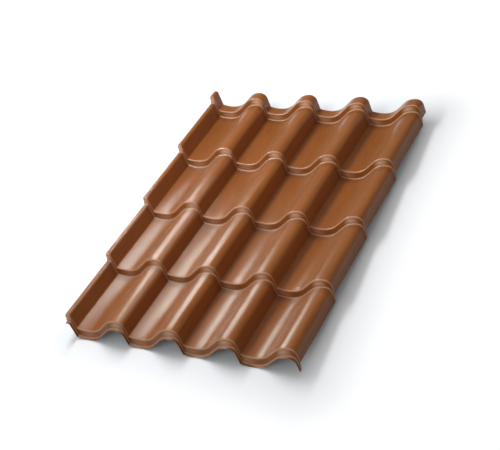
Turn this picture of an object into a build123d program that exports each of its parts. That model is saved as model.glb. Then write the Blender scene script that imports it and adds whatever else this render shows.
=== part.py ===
from build123d import *
import os
from math import atan2, cos, hypot, radians, sin, tan

# A metal roof tile sheet: one thin steel sheet, roll formed into waves across
# its width and pressed into steps along its length, lying on a level floor.
# X runs across the waves from the first crease, Y up the roof from the top of
# the lowest riser, and Z up from the feet of the creases, in millimetres.
# Sizes are those of the painted upper face. The back face lies one thickness below.

sheet_thickness = 0.5

# Waves, across the sheet
wave_count = 4
wave_pitch = 262.5  # from crease to crease
wave_height = 83.0  # crest above crease
entry_angle = 19.0  # how steeply the trough falls away from the crease
slope_angle = 42.0  # long slope from the trough up to the crest
side_angle = 88.0  # short steep side from the crest down to the crease
trough_radius = 110.0  # where the trough turns up into the long slope
crest_radius = 90.0  # where the long slope turns over at the crest
shoulder_radius = 28.0  # where the crest turns down into the steep side
crease_radius = 2.0
underlap_width = 24.0  # the narrow wave on the left, from its cut to the first crease
underlap_radius = 10.0  # of its crest
underlap_dip = 15.0  # how steeply it falls from its crest to its cut
edge_clearance = 10.0  # the last steep side ends this high above its crease

# Steps, along the sheet
row_count = 4
row_length = 350.0
step_height = 32.0
step_run = 7.5  # how far a riser leans back from its foot to its nose
nose_width = 5.0  # bevel that rounds off the top of a riser
foot_width = 3.0  # bevel that rounds off the foot of a riser
lip_length = 14.0  # sheet in front of the lowest riser
tail_length = 48.0  # sheet behind the highest riser


def run(length):
    """A straight stretch of an outline."""
    return ("run", length, 0.0)


def bend(radius, turn):
    """A round stretch of an outline, with its turn in radians, upwards if positive."""
    return ("bend", radius, turn)


def fold(turn):
    """A sharp change of heading between two runs, in radians, upwards if positive."""
    return ("fold", 0.0, turn)


def trace(start, heading, stretches, depth=0.0):
    """Control points and weights of each stretch of an outline, at a depth below it.

    A run has two points. A bend has a third where its end tangents meet. A fold adds
    no stretch: the two runs beside it meet on its mitre.
    """
    across = start[0] + depth * sin(heading)
    up = start[1] - depth * cos(heading)
    pieces = []
    mitre = 0.0
    for kind, size, turn in stretches:
        radius = size + depth if turn > 0 else size - depth
        reach = radius * tan(abs(turn) / 2)
        if kind == "fold":
            across += reach * cos(heading)
            up += reach * sin(heading)
            pieces[-1][-1] = (across, up, 1.0)
            heading += turn
            mitre = reach
            continue
        piece = [(across, up, 1.0)]
        if kind == "run":
            reach = size + mitre
            mitre = 0.0
        else:
            across += reach * cos(heading)
            up += reach * sin(heading)
            piece.append((across, up, cos(turn / 2)))
            heading += turn
        across += reach * cos(heading)
        up += reach * sin(heading)
        piece.append((across, up, 1.0))
        pieces.append(piece)
    return pieces


def wave_outline():
    """Start, heading and stretches of the section, from the left edge to the right."""
    entry = radians(entry_angle)
    slope = radians(slope_angle)
    side = radians(side_angle)

    crease_width = crease_radius * (sin(side) - sin(entry))
    crease_drop = crease_radius * (cos(entry) - cos(side))
    shoulder_drop = shoulder_radius * (1 - cos(side))
    side_length = (wave_height - shoulder_drop - crease_drop) / sin(side)
    last_side_length = (wave_height - shoulder_drop - edge_clearance) / sin(side)
    steep_width = shoulder_radius * sin(side) + side_length * cos(side) + crease_width

    # The trough is as deep as it has to be for the wave to close on its pitch.
    turning_radius = trough_radius + crest_radius
    level_rise = wave_height - turning_radius * (1 - cos(slope))
    level_width = level_rise / tan(slope) + turning_radius * sin(slope)
    spare_width = wave_pitch - steep_width - level_width
    trough_depth = spare_width / (1 / tan(entry / 2) + 1 / tan(slope))
    entry_radius = trough_depth / (1 - cos(entry))

    crease = bend(crease_radius, side - entry)
    climb = [
        bend(entry_radius, entry),
        bend(trough_radius, slope),
        run((level_rise + trough_depth) / sin(slope)),
        bend(crest_radius, -slope),
        bend(shoulder_radius, -side),
    ]

    # The underlap is as high as the waves, and is cut off just past its own tight crest.
    dip = radians(underlap_dip)
    underlap_drop = underlap_radius * (1 - cos(side))
    underlap_side = (wave_height - underlap_drop - crease_drop) / sin(side)
    bent_width = underlap_radius * (sin(dip) + sin(side)) + underlap_side * cos(side) + crease_width
    hem_length = (underlap_width - bent_width) / cos(dip)
    hem_drop = underlap_radius * (1 - cos(dip)) + hem_length * sin(dip)
    start = (-underlap_width, wave_height - hem_drop)
    stretches = [run(hem_length), bend(underlap_radius, -dip - side), run(underlap_side), crease]
    stretches += climb
    for _ in range(wave_count - 1):
        stretches += [run(side_length), crease] + climb
    stretches.append(run(last_side_length))
    return start, dip, stretches


def step_outline():
    """Start, heading and stretches of the steps, from the lip to the tail."""
    tread = atan2(step_height, row_length - step_run)
    turn = tread + atan2(step_height, step_run)
    foot_reach = foot_width / 2 / cos(turn / 2)
    nose_reach = nose_width / 2 / cos(turn / 2)
    riser = [
        fold(turn / 2),
        run(foot_width),
        fold(turn / 2),
        run(hypot(step_height, step_run) - foot_reach - nose_reach),
        fold(-turn / 2),
        run(nose_width),
        fold(-turn / 2),
    ]
    tread_run = run(hypot(step_height, row_length - step_run) - foot_reach - nose_reach)

    start = (-step_run - lip_length * cos(tread), lip_length * sin(tread))
    stretches = [run(lip_length - foot_reach)] + riser
    for _ in range(row_count):
        stretches += [tread_run] + riser
    stretches.append(run(tail_length - nose_reach))
    return start, -tread, stretches


def join(section_point, step_point):
    """Control point and weight where a point of the section is carried along the steps."""
    x, section_z, section_weight = section_point
    y, step_z, step_weight = step_point
    return (x, y, section_z + step_z), section_weight * step_weight


def patch(rows):
    """The face over a net of joined points."""
    points = [[point for point, _ in row] for row in rows]
    weights = [[weight for _, weight in row] for row in rows]
    return Face.make_bezier_surface(points, weights)


def skin(section, steps):
    """Faces that the section sweeps as it is carried, always upright, along the steps."""
    return [
        patch([[join(point, step) for step in tread] for point in strip])
        for strip in section
        for tread in steps
    ]


def side_rim(top_point, back_point, top_steps, back_steps):
    """Cut edge along one side of the sheet."""
    return [
        patch([[join(top_point, step) for step in top], [join(back_point, step) for step in back]])
        for top, back in zip(top_steps, back_steps)
    ]


def end_rim(top_section, back_section, top_step, back_step):
    """Cut edge along one end of the sheet."""
    return [
        patch([[join(p, top_step), join(q, back_step)] for p, q in zip(top, back)])
        for top, back in zip(top_section, back_section)
    ]


def tile_sheet():
    """The whole sheet as one solid of even thickness."""
    top_section = trace(*wave_outline())
    back_section = trace(*wave_outline(), depth=sheet_thickness)
    top_steps = trace(*step_outline())
    # The section already holds the thickness, so the back's steps are lifted by as much.
    back_steps = [
        [(y, z + sheet_thickness, weight) for y, z, weight in piece]
        for piece in trace(*step_outline(), depth=sheet_thickness)
    ]
    faces = skin(top_section, top_steps) + skin(back_section, back_steps)
    for strip, end in ((0, 0), (-1, -1)):
        faces += side_rim(top_section[strip][end], back_section[strip][end], top_steps, back_steps)
        faces += end_rim(top_section, back_section, top_steps[strip][end], back_steps[strip][end])
    return Solid(Shell(faces))


os.makedirs("parts", exist_ok=True)
sheet = tile_sheet()
box = sheet.bounding_box()
# The origin is under the middle of the sheet, on the floor that it rests on.
sheet = sheet.translate((-box.center().X, -box.center().Y, -box.min.Z))
export_step(sheet, "parts/tile_sheet.step")
print("size", box.size, "volume", round(sheet.volume), "faces", len(sheet.faces()))
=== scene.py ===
from math import atan2, cos, hypot, radians, sin, tan

import bpy
import numpy as np
from mathutils import Matrix, Vector


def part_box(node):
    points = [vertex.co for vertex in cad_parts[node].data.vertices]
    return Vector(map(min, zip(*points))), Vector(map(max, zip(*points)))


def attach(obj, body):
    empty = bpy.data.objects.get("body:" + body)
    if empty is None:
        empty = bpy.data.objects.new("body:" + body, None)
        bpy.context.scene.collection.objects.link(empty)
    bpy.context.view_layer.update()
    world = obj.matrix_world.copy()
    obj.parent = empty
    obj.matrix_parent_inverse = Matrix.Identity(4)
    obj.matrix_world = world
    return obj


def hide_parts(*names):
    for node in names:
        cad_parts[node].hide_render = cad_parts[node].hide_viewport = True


# A glossy brown metal roof tile sheet lying on a white floor, lit from the left.
# The sheet is meshed again here from the sizes of the solid, with its bends rounded.

# Sizes of the sheet in millimetres, the same as the solid's.
sheet_thickness = 0.5
wave_count = 4
wave_pitch = 262.5
wave_height = 83.0
entry_angle = 19.0
slope_angle = 42.0
side_angle = 88.0
trough_radius = 110.0
crest_radius = 90.0
shoulder_radius = 28.0
crease_radius = 2.0
underlap_width = 24.0
underlap_radius = 10.0
underlap_dip = 15.0
edge_clearance = 10.0
row_count = 4
row_length = 350.0
step_height = 32.0
step_run = 7.5
lip_length = 14.0
tail_length = 48.0

# Only here: the risers' bends are round instead of bevelled.
nose_radius = 6.5
foot_radius = 6.5

# How far the painted highlights and painted shade reach from the line they lie along, in metres.
bend_reach = 0.006
riser_reach = 0.022
foot_shade_reach = 0.034  # in front of a foot
crest_reach = 0.045
trough_reach = 0.060

# The floor as it is seen, and as it lights the sheet.
floor_white = (0.91, 0.94, 0.98)
floor_dim = (0.12, 0.12, 0.12)
floor_glow = 0.35  # added away from the sheet, so that the floor is an even white
floor_fade = 0.40  # metres from the sheet to where it is added in full

# Where the photograph was taken from, in metres and degrees.
camera_place = (2.6082, -3.1313, 3.4167)
camera_right = (0.8645, 0.4066, -0.2956)
camera_down = (0.0869, -0.7001, -0.7087)
camera_lens = 89.02


# Outlines

def run(length, parts):
    """A straight stretch of an outline, cut into parts."""
    return (length, 0.0, parts)


def bend(radius, turn, parts):
    """A round stretch with its turn in radians, upwards if positive, cut into parts."""
    return (radius * abs(turn), turn, parts)


def walk(start, heading, stretches):
    """Points of an outline, with the heading and the length walked at each."""
    across, up = start
    walked = 0.0
    points = [(across, up)]
    headings = [heading]
    lengths = [0.0]
    for length, turn, parts in stretches:
        for step in range(1, parts + 1):
            share = step / parts
            if turn:
                radius = length / turn
                here = heading + turn * share
                x = across + radius * (sin(here) - sin(heading))
                z = up - radius * (cos(here) - cos(heading))
            else:
                here = heading
                x = across + length * share * cos(heading)
                z = up + length * share * sin(heading)
            points.append((x, z))
            headings.append(here)
            lengths.append(walked + length * share)
        across, up = points[-1]
        heading += turn
        walked += length
    return np.array(points), np.array(headings), np.array(lengths)


def wave_outline():
    """The section, from the left edge to the right."""
    entry = radians(entry_angle)
    slope = radians(slope_angle)
    side = radians(side_angle)

    crease_width = crease_radius * (sin(side) - sin(entry))
    crease_drop = crease_radius * (cos(entry) - cos(side))
    shoulder_drop = shoulder_radius * (1 - cos(side))
    side_length = (wave_height - shoulder_drop - crease_drop) / sin(side)
    last_side_length = (wave_height - shoulder_drop - edge_clearance) / sin(side)
    steep_width = shoulder_radius * sin(side) + side_length * cos(side) + crease_width

    # The trough is as deep as it has to be for the wave to close on its pitch.
    turning_radius = trough_radius + crest_radius
    level_rise = wave_height - turning_radius * (1 - cos(slope))
    level_width = level_rise / tan(slope) + turning_radius * sin(slope)
    spare_width = wave_pitch - steep_width - level_width
    trough_depth = spare_width / (1 / tan(entry / 2) + 1 / tan(slope))
    entry_radius = trough_depth / (1 - cos(entry))

    crease = bend(crease_radius, side - entry, 5)
    climb = [
        bend(entry_radius, entry, 6),
        bend(trough_radius, slope, 9),
        run((level_rise + trough_depth) / sin(slope), 5),
        bend(crest_radius, -slope, 9),
        bend(shoulder_radius, -side, 14),
    ]

    # The underlap is as high as the waves, and is cut off just past its own tight crest.
    dip = radians(underlap_dip)
    underlap_drop = underlap_radius * (1 - cos(side))
    underlap_side = (wave_height - underlap_drop - crease_drop) / sin(side)
    bent_width = underlap_radius * (sin(dip) + sin(side)) + underlap_side * cos(side) + crease_width
    hem_length = (underlap_width - bent_width) / cos(dip)
    hem_drop = underlap_radius * (1 - cos(dip)) + hem_length * sin(dip)
    start = (-underlap_width, wave_height - hem_drop)
    stretches = [run(hem_length, 2), bend(underlap_radius, -dip - side, 12), run(underlap_side, 3)]
    stretches += [crease] + climb
    for _ in range(wave_count - 1):
        stretches += [run(side_length, 3), crease] + climb
    stretches.append(run(last_side_length, 3))
    return walk(start, dip, stretches)


def step_sizes():
    """Slope of a tread, turn of a bend, reach of each bend, straight riser and tread."""
    tread = atan2(step_height, row_length - step_run)
    turn = tread + atan2(step_height, step_run)
    foot_reach = foot_radius * tan(turn / 2)
    nose_reach = nose_radius * tan(turn / 2)
    riser_run = hypot(step_height, step_run) - foot_reach - nose_reach
    tread_run = hypot(step_height, row_length - step_run) - foot_reach - nose_reach
    return tread, turn, foot_reach, nose_reach, riser_run, tread_run


def step_outline():
    """The steps, from the lip to the tail."""
    tread, turn, foot_reach, nose_reach, riser_run, tread_run = step_sizes()
    riser = [bend(foot_radius, turn, 7), run(riser_run, 3), bend(nose_radius, -turn, 8)]
    start = (-step_run - lip_length * cos(tread), lip_length * sin(tread))
    stretches = [run(lip_length - foot_reach, 2)] + riser
    for _ in range(row_count):
        stretches += [run(tread_run, 12)] + riser
    stretches.append(run(tail_length - nose_reach, 3))
    return walk(start, -tread, stretches)


def wave_places():
    """Bottom of the first trough, top of its wave, and one wave's length, walked in metres."""
    places, _, lengths = wave_outline()
    second = np.searchsorted(places[:, 0], wave_pitch)
    first = np.searchsorted(places[:, 0], 0.0)
    trough = first + np.argmin(places[first:second, 1])
    crest = first + np.argmax(places[first:second, 1])
    return lengths[trough] / 1000, lengths[crest] / 1000, (lengths[second] - lengths[first]) / 1000


def bend_places():
    """Middle of the first nose and foot, and one row's length, walked along in metres."""
    _, turn, foot_reach, _, riser_run, tread_run = step_sizes()
    foot = lip_length - foot_reach + foot_radius * turn / 2
    nose = foot + foot_radius * turn / 2 + riser_run + nose_radius * turn / 2
    row = tread_run + riser_run + (foot_radius + nose_radius) * turn
    return nose / 1000, foot / 1000, row / 1000


# The sheet

def layer(section, steps, depth):
    """Grid of points of the sheet at a depth below its painted face, in millimetres."""
    wave, wave_heading, _ = section
    step, step_heading, _ = steps
    points = np.empty((len(step), len(wave), 3))
    points[..., 0] = wave[:, 0] + depth * np.sin(wave_heading)
    points[..., 1] = (step[:, 0] + depth * np.sin(step_heading))[:, None]
    wave_up = wave[:, 1] - depth * np.cos(wave_heading)
    step_up = step[:, 1] - depth * np.cos(step_heading)
    points[..., 2] = wave_up[None, :] + step_up[:, None] + depth
    return points


def rim_loop(rows, columns):
    """Indices round the border of a grid, as seen from above, anticlockwise."""
    near = list(range(columns))
    right = [row * columns + columns - 1 for row in range(1, rows)]
    far = [(rows - 1) * columns + column for column in range(columns - 2, -1, -1)]
    left = [row * columns for row in range(rows - 2, 0, -1)]
    return near + right + far + left


def sheet_mesh(name):
    """Closed mesh of the sheet in its place in the frame, its faces sorted by material."""
    section = wave_outline()
    steps = step_outline()
    top = layer(section, steps, 0.0)
    back = layer(section, steps, sheet_thickness)
    rows, columns = top.shape[:2]
    count = rows * columns

    points = np.concatenate([top.reshape(-1, 3), back.reshape(-1, 3)]) / 1000
    low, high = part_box("tile_sheet")
    middle = (points.min(axis=0) + points.max(axis=0)) / 2
    points[:, 0] += (low[0] + high[0]) / 2 - middle[0]
    points[:, 1] += (low[1] + high[1]) / 2 - middle[1]
    points[:, 2] += low[2] - points[:, 2].min()

    corner = (np.arange(rows - 1)[:, None] * columns + np.arange(columns - 1)).reshape(-1)
    face = np.stack([corner, corner + 1, corner + columns + 1, corner + columns], axis=1)
    faces = face.tolist() + (face[:, ::-1] + count).tolist()
    loop = rim_loop(rows, columns)
    for here, there in zip(loop, loop[1:] + loop[:1]):
        faces.append([here, here + count, there + count, there])

    mesh = bpy.data.meshes.new(name)
    mesh.from_pydata(points.tolist(), [], faces)
    kinds = np.zeros(len(faces), dtype=np.int32)
    kinds[len(face):2 * len(face)] = 1
    kinds[2 * len(face):] = 2
    mesh.polygons.foreach_set("material_index", kinds)
    mesh.shade_smooth()
    mesh.set_sharp_from_angle(angle=radians(40))

    # Lengths walked across and along the sheet, in metres, lie in the texture map.
    across, along = np.meshgrid(section[2] / 1000, steps[2] / 1000)
    lengths = np.stack([across.reshape(-1), along.reshape(-1)], axis=1)
    corners = np.empty(len(mesh.loops), dtype=np.int32)
    mesh.loops.foreach_get("vertex_index", corners)
    layout = mesh.uv_layers.new(name="lengths")
    layout.uv.foreach_set("vector", lengths[corners % count].reshape(-1).astype(np.float32))
    mesh.update()
    return mesh


# Materials

def node_material(name):
    """A node material with no nodes yet, and its node tree."""
    material = bpy.data.materials.new(name)
    material.use_nodes = True
    tree = material.node_tree
    tree.nodes.clear()
    return material, tree


def add(tree, kind, settings=None, **inputs):
    """A node of a kind, with its settings and its unlinked inputs set."""
    node = tree.nodes.new(kind)
    for key, value in (settings or {}).items():
        setattr(node, key, value)
    for key, value in inputs.items():
        node.inputs[key.replace("_", " ")].default_value = value
    return node


def ramp(tree, fac, stops):
    """A colour ramp over a value."""
    node = tree.nodes.new("ShaderNodeValToRGB")
    elements = node.color_ramp.elements
    while len(elements) < len(stops):
        elements.new(0.5)
    for element, (position, colour) in zip(elements, stops):
        element.position = position
        element.color = (*colour, 1.0)
    tree.links.new(fac, node.inputs["Fac"])
    return node.outputs["Color"]


def between(tree, value, low, high):
    """0 where a value is at or below low, rising smoothly to 1 at high, or the other way."""
    band = add(tree, "ShaderNodeMapRange", {"interpolation_type": "SMOOTHSTEP"})
    band.inputs["From Min"].default_value = low
    band.inputs["From Max"].default_value = high
    tree.links.new(value, band.inputs["Value"])
    return band.outputs["Result"]


def combine(tree, operation, first, second):
    """Two values put together, the second of which may be a number."""
    node = add(tree, "ShaderNodeMath", {"operation": operation})
    tree.links.new(first, node.inputs[0])
    if isinstance(second, float):
        node.inputs[1].default_value = second
    else:
        tree.links.new(second, node.inputs[1])
    return node.outputs["Value"]


def near_places(tree, walked, first, period, before, after):
    """1 at places that come back every period, falling to 0 at a distance before and after."""
    wrapped = add(tree, "ShaderNodeMath", {"operation": "WRAP"})
    wrapped.inputs[1].default_value = period / 2
    wrapped.inputs[2].default_value = -period / 2
    tree.links.new(combine(tree, "SUBTRACT", walked, first), wrapped.inputs[0])
    rise = between(tree, wrapped.outputs["Value"], -before, 0.0)
    fall = between(tree, wrapped.outputs["Value"], after, 0.0)
    return combine(tree, "MINIMUM", rise, fall)


def mixed(tree, factor, colour, other, blend="MIX"):
    """A colour mixed with another by a factor, each of which may be linked or fixed."""
    mix = add(tree, "ShaderNodeMix", {"data_type": "RGBA", "blend_type": blend})
    sockets = (mix.inputs["Factor"], mix.inputs[6], mix.inputs[7])
    for socket, value in zip(sockets, (factor, colour, other)):
        if isinstance(value, bpy.types.NodeSocket):
            tree.links.new(value, socket)
        elif isinstance(value, tuple):
            socket.default_value = (*value, 1.0)
        else:
            socket.default_value = value
    return mix.outputs[2]


def coated_paint(name):
    """Glossy brown coating, with faint streaks along the sheet.

    It has painted highlights on the risers' bends and on their faces at the crests and
    troughs, and in front of each foot it is a little duller, with painted shade.
    """
    material, tree = node_material(name)
    link = tree.links.new
    place = add(tree, "ShaderNodeTexCoord")
    walked = add(tree, "ShaderNodeSeparateXYZ")
    link(place.outputs["UV"], walked.inputs["Vector"])
    across = walked.outputs["X"]
    along = walked.outputs["Y"]
    nose, foot, row = bend_places()
    trough, crest, wave = wave_places()
    noses = near_places(tree, along, nose, row, bend_reach, bend_reach)
    feet = near_places(tree, along, foot, row, bend_reach, bend_reach)
    bends = combine(tree, "MAXIMUM", noses, feet)
    risers = near_places(tree, along, (nose + foot) / 2, row, riser_reach, riser_reach)
    # The band in front of each foot gets painted shade and a little more roughness.
    foot_shade_band = near_places(tree, along, foot - bend_reach, row, foot_shade_reach, bend_reach)
    foot_shade_band = combine(tree, "MINIMUM", combine(tree, "MULTIPLY", foot_shade_band, 2.0), 1.0)
    crests = near_places(tree, across, crest, wave, crest_reach, crest_reach)
    troughs = near_places(tree, across, trough, wave, trough_reach, trough_reach)

    # Streaks run along the sheet, so the pattern is stretched that way.
    stretch = add(tree, "ShaderNodeMapping", Scale=(1.0, 0.02, 1.0))
    link(place.outputs["Object"], stretch.inputs["Vector"])
    streaks = add(tree, "ShaderNodeTexNoise", Scale=110.0, Detail=4.0, Roughness=0.6)
    link(stretch.outputs["Vector"], streaks.inputs["Vector"])
    clouds = add(tree, "ShaderNodeTexNoise", Scale=7.0, Detail=3.0)
    link(place.outputs["Object"], clouds.inputs["Vector"])
    grain = add(tree, "ShaderNodeTexNoise", Scale=420.0, Detail=2.0)
    link(place.outputs["Object"], grain.inputs["Vector"])

    browns = ramp(tree, streaks.outputs["Fac"], [
        (0.30, (0.242, 0.069, 0.010)),
        (0.50, (0.270, 0.080, 0.012)),
        (0.70, (0.298, 0.092, 0.016)),
    ])
    patches = ramp(tree, clouds.outputs["Fac"], [
        (0.30, (0.94, 0.93, 0.92)),
        (0.70, (1.06, 1.07, 1.08)),
    ])
    colour = mixed(tree, 1.0, browns, patches, "MULTIPLY")
    # Painted shade: in front of each foot the colour is darkened towards a deep brown.
    foot_shade = combine(tree, "MULTIPLY", foot_shade_band, 0.35)
    colour = mixed(tree, foot_shade, colour, (0.12, 0.034, 0.004))

    # A riser's face has a painted highlight, strongest at the crests, weaker in the troughs, and
    # none between.
    ends = combine(tree, "MAXIMUM", crests, combine(tree, "MULTIPLY", troughs, 0.45))
    faces = combine(tree, "MULTIPLY", combine(tree, "MULTIPLY", risers, ends), 0.85)
    # The pale lines along the noses and feet are painted highlights of the bends.
    bend_highlight = combine(tree, "MULTIPLY", bends, 0.5)
    painted_highlight = combine(tree, "MAXIMUM", faces, bend_highlight)
    # The painted highlights mix the colour towards a pale tan.
    colour = mixed(tree, painted_highlight, colour, (0.72, 0.45, 0.30))

    gloss = add(tree, "ShaderNodeMapRange", From_Min=0.3, From_Max=0.7, To_Min=0.36, To_Max=0.25)
    link(streaks.outputs["Fac"], gloss.inputs["Value"])
    rougher = combine(tree, "MULTIPLY", foot_shade_band, 0.14)
    roughness = combine(tree, "ADD", gloss.outputs["Result"], rougher)

    relief = add(tree, "ShaderNodeBump", Strength=0.05, Distance=0.0004)
    link(grain.outputs["Fac"], relief.inputs["Height"])
    rolled = add(tree, "ShaderNodeBump", Strength=0.15, Distance=0.0006)
    link(streaks.outputs["Fac"], rolled.inputs["Height"])
    link(relief.outputs["Normal"], rolled.inputs["Normal"])

    shader = add(
        tree, "ShaderNodeBsdfPrincipled",
        IOR=1.5, Specular_IOR_Level=0.22, Sheen_Weight=0.14, Sheen_Tint=(1.0, 0.88, 0.68, 1.0)
    )
    link(colour, shader.inputs["Base Color"])
    link(roughness, shader.inputs["Roughness"])
    link(rolled.outputs["Normal"], shader.inputs["Normal"])
    output = add(tree, "ShaderNodeOutputMaterial")
    link(shader.outputs["BSDF"], output.inputs["Surface"])
    return material


def back_coat(name):
    """Thin grey coat on the back of the sheet, with streaks along it and uneven gloss."""
    material, tree = node_material(name)
    link = tree.links.new
    place = add(tree, "ShaderNodeTexCoord")
    stretch = add(tree, "ShaderNodeMapping", Scale=(1.0, 0.03, 1.0))
    link(place.outputs["Object"], stretch.inputs["Vector"])
    streaks = add(tree, "ShaderNodeTexNoise", Scale=90.0, Detail=5.0, Roughness=0.65)
    link(stretch.outputs["Vector"], streaks.inputs["Vector"])
    clouds = add(tree, "ShaderNodeTexNoise", Scale=9.0, Detail=4.0)
    link(place.outputs["Object"], clouds.inputs["Vector"])
    greys = ramp(tree, streaks.outputs["Fac"], [
        (0.30, (0.27, 0.27, 0.26)),
        (0.70, (0.36, 0.36, 0.35)),
    ])
    gloss = add(tree, "ShaderNodeMapRange", From_Min=0.3, From_Max=0.7, To_Min=0.42, To_Max=0.58)
    link(clouds.outputs["Fac"], gloss.inputs["Value"])
    relief = add(tree, "ShaderNodeBump", Strength=0.12, Distance=0.0005)
    link(streaks.outputs["Fac"], relief.inputs["Height"])
    shader = add(tree, "ShaderNodeBsdfPrincipled", IOR=1.45)
    link(greys, shader.inputs["Base Color"])
    link(gloss.outputs["Result"], shader.inputs["Roughness"])
    link(relief.outputs["Normal"], shader.inputs["Normal"])
    output = add(tree, "ShaderNodeOutputMaterial")
    link(shader.outputs["BSDF"], output.inputs["Surface"])
    return material


def cut_edge(name):
    """Sheared edge of the steel, with coating smeared over part of it."""
    material, tree = node_material(name)
    link = tree.links.new
    place = add(tree, "ShaderNodeTexCoord")
    smear = add(tree, "ShaderNodeTexNoise", Scale=300.0, Detail=3.0)
    link(place.outputs["Object"], smear.inputs["Vector"])
    tones = ramp(tree, smear.outputs["Fac"], [
        (0.45, (0.10, 0.04, 0.018)),
        (0.60, (0.24, 0.19, 0.16)),
    ])
    bare = add(tree, "ShaderNodeMapRange", From_Min=0.45, From_Max=0.60, To_Min=0.0, To_Max=0.8)
    link(smear.outputs["Fac"], bare.inputs["Value"])
    shader = add(tree, "ShaderNodeBsdfPrincipled", Roughness=0.4)
    link(tones, shader.inputs["Base Color"])
    link(bare.outputs["Result"], shader.inputs["Metallic"])
    output = add(tree, "ShaderNodeOutputMaterial")
    link(shader.outputs["BSDF"], output.inputs["Surface"])
    return material


def floor_paint(name):
    """White floor that keeps the shadow near the sheet, and throws less light back onto it."""
    material, tree = node_material(name)
    link = tree.links.new
    path = add(tree, "ShaderNodeLightPath")
    seen = combine(tree, "MAXIMUM", path.outputs["Is Camera Ray"], path.outputs["Is Glossy Ray"])
    seen = combine(tree, "MAXIMUM", seen, path.outputs["Is Transmission Ray"])
    tone = ramp(tree, seen, [(0.0, floor_dim), (1.0, floor_white)])
    painted = add(tree, "ShaderNodeBsdfDiffuse")
    link(tone, painted.inputs["Color"])

    # Away from the sheet the floor fades to an even white.
    _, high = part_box("tile_sheet")
    place = add(tree, "ShaderNodeTexCoord")
    outwards = add(tree, "ShaderNodeVectorMath", {"operation": "ABSOLUTE"})
    link(place.outputs["Object"], outwards.inputs[0])
    outside = add(tree, "ShaderNodeVectorMath", {"operation": "SUBTRACT"})
    link(outwards.outputs["Vector"], outside.inputs[0])
    outside.inputs[1].default_value = (high[0], high[1], 0.0)
    positive = add(tree, "ShaderNodeVectorMath", {"operation": "MAXIMUM"})
    link(outside.outputs["Vector"], positive.inputs[0])
    distance = add(tree, "ShaderNodeVectorMath", {"operation": "LENGTH"})
    link(positive.outputs["Vector"], distance.inputs[0])
    far = between(tree, distance.outputs["Value"], 0.0, floor_fade)
    glow = combine(tree, "MULTIPLY", far, floor_glow)
    white = add(tree, "ShaderNodeEmission")
    link(combine(tree, "MULTIPLY", seen, glow), white.inputs["Strength"])

    both = add(tree, "ShaderNodeAddShader")
    link(painted.outputs["BSDF"], both.inputs[0])
    link(white.outputs["Emission"], both.inputs[1])
    output = add(tree, "ShaderNodeOutputMaterial")
    link(both.outputs["Shader"], output.inputs["Surface"])
    return material


# Surroundings

def add_object(name, data):
    """A new object with its data, in the scene."""
    thing = bpy.data.objects.new(name, data)
    bpy.context.scene.collection.objects.link(thing)
    return thing


def add_floor(size):
    """A wide level floor under the sheet."""
    half = size / 2
    mesh = bpy.data.meshes.new("floor")
    corners = [(-half, -half, 0), (half, -half, 0), (half, half, 0), (-half, half, 0)]
    mesh.from_pydata(corners, [], [(0, 1, 2, 3)])
    mesh.materials.append(floor_paint("white_floor"))
    floor = add_object("floor", mesh)


def add_sun(name, towards, strength, spread):
    """Wide soft light from far away, from a direction as seen from the sheet."""
    lamp = bpy.data.lights.new(name, "SUN")
    lamp.energy = strength
    lamp.angle = radians(spread)
    sun = add_object(name, lamp)
    sun.rotation_mode = "QUATERNION"
    sun.rotation_quaternion = Vector(towards).to_track_quat("Z", "Y")


def add_lamp(name, place, tilt, size, radiance):
    """A flat oblong lamp, its length along Y, turned from facing down towards facing along X."""
    lamp = bpy.data.lights.new(name, "AREA")
    lamp.shape = "RECTANGLE"
    lamp.size, lamp.size_y = size
    # A flat lamp of this power shines with the radiance that is asked for.
    lamp.energy = radiance * 4 * size[0] * size[1]
    panel = add_object(name, lamp)
    panel.location = place
    panel.rotation_euler = (0.0, -tilt, 0.0)
    panel.visible_camera = False
    return panel


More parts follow.
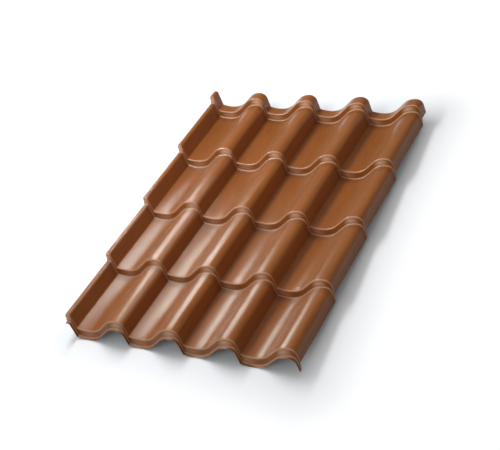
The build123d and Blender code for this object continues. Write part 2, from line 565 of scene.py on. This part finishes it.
def add_panel(name, place, tilt, size, radiance):
    """A slightly tinted softbox seen only in the gloss, past the waves in its way."""
    panel = add_lamp(name, place, tilt, size, radiance)
    panel.data.use_shadow = False
    panel.data.cycles.use_multiple_importance_sampling = False
    panel.data.color = (0.93, 1.0, 0.95)
    panel.visible_diffuse = False


def add_world(colour, strength):
    """Even dim light from all round."""
    world = bpy.data.worlds.new("studio")
    world.use_nodes = True
    sky = world.node_tree.nodes["Background"]
    sky.inputs["Color"].default_value = (*colour, 1.0)
    sky.inputs["Strength"].default_value = strength
    bpy.context.scene.world = world


def add_camera():
    """The camera at the photograph's place, rolled as the photograph is."""
    data = bpy.data.cameras.new("photo_camera")
    data.sensor_width = 36.0
    data.lens = camera_lens
    camera = add_object("photo_camera", data)
    right = Vector(camera_right).normalized()
    up = -Vector(camera_down).normalized()
    turn = Matrix((right, up, right.cross(up))).transposed()
    camera.matrix_world = Matrix.Translation(camera_place) @ turn.to_4x4()
    bpy.context.scene.camera = camera


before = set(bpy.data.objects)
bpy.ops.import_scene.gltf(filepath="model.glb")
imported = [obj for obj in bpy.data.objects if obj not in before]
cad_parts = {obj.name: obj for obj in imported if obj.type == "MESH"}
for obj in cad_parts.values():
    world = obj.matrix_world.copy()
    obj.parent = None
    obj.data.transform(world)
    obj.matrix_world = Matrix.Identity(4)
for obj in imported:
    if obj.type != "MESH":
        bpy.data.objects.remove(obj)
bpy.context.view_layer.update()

sheet = add_object("coated_sheet", sheet_mesh("coated_sheet"))
for material in (coated_paint("brown_coating"), back_coat("back_coating"), cut_edge("cut_edge")):
    sheet.data.materials.append(material)
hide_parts("tile_sheet")
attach(sheet, "root")

add_floor(40.0)
key = add_lamp("key", (-0.45, 0.20, 1.50), 0.0, (0.40, 1.50), 7.1)
key.visible_glossy = False
add_sun("fill", (-0.35, 0.25, 0.90), 0.60, 60.0)
add_sun("front", (-0.40, -0.80, 0.45), 0.45, 40.0)
add_panel("softbox", (-0.83, 0.35, 0.64), 1.30, (0.70, 0.70), 9.0)
add_panel("glow", (-0.73, -0.16, 0.51), -0.45, (1.42, 0.98), 3.2)
add_world((1.0, 0.98, 0.94), 0.42)
add_camera()

view = bpy.context.scene.view_settings
view.view_transform = "Standard"
